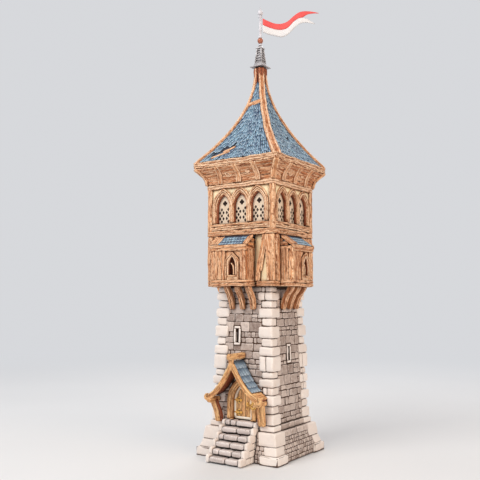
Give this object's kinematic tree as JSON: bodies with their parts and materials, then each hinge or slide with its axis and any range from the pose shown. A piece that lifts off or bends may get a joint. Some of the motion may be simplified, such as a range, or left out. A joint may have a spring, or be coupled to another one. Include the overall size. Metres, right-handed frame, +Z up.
{
  "type": "tabletop watchtower model",
  "caption": "Painted tabletop model of a square stone watchtower with timber bays, an arcaded upper storey, a bell-cast slate roof, a porch with steps and a pennon.",
  "frame": {"origin": "centre of the square foot of the plinth, on the surface that it stands on", "axes": "+Z up; the door, porch and steps face -Y; +X is to the right of someone facing the door"},
  "size_m": [0.1032, 0.1166, 0.4502],
  "materials": {
    "timber": "satin painted print, brown wash over orange tan",
    "slate": "satin painted print, blue with pale edges",
    "quoin": "matte painted print, warm off-white stone",
    "masonry": "matte painted print, grey stone with brown wash",
    "screen": "satin painted print, pale cream",
    "pewter": "metallic paint, pale grey with a copper ball",
    "pennon": "satin paint, red over white"
  },
  "bodies": {
    "tower": {"door_frame": "timber", "porch_frame": "timber", "core_floor": "timber", "upper_floor": "timber", "upper_frame": "timber", "eaves_cove": "timber", "eave_beams": "timber", "hip_beams": "timber", "front_right_pier": "timber", "back_right_pier": "timber", "back_left_pier": "timber", "front_left_pier": "timber", "front_bay": "timber", "right_bay": "timber", "back_bay": "timber", "left_bay": "timber", "front_arcade": "timber", "right_arcade": "timber", "back_arcade": "timber", "left_arcade": "timber", "porch_roof": "slate", "roof": "slate", "front_bay_roof": "slate", "right_bay_roof": "slate", "back_bay_roof": "slate", "left_bay_roof": "slate", "string_course": "quoin", "steps": "quoin", "front_right_quoins": "quoin", "back_right_quoins": "quoin", "back_left_quoins": "quoin", "front_left_quoins": "quoin", "plinth": "masonry", "ground_floor": "masonry", "front_wall_left": "masonry", "front_wall_right": "masonry", "front_wall_over_door": "masonry", "right_wall": "masonry", "back_wall": "masonry", "left_wall": "masonry", "front_pierced_panel": "screen", "right_pierced_panel": "screen", "back_pierced_panel": "screen", "left_pierced_panel": "screen", "lantern": "pewter", "finial_pole": "pewter", "pennon": "pennon"},
    "door": {"door_leaf": "timber"}
  },
  "joints": [
    {"name": "door_hinge", "type": "hinge", "parent": "tower", "child": "door", "pos_m": [-0.0106, -0.02857, 0.0355], "axis": [0, 0, 1], "range_deg": [0, 95]}
  ]
}
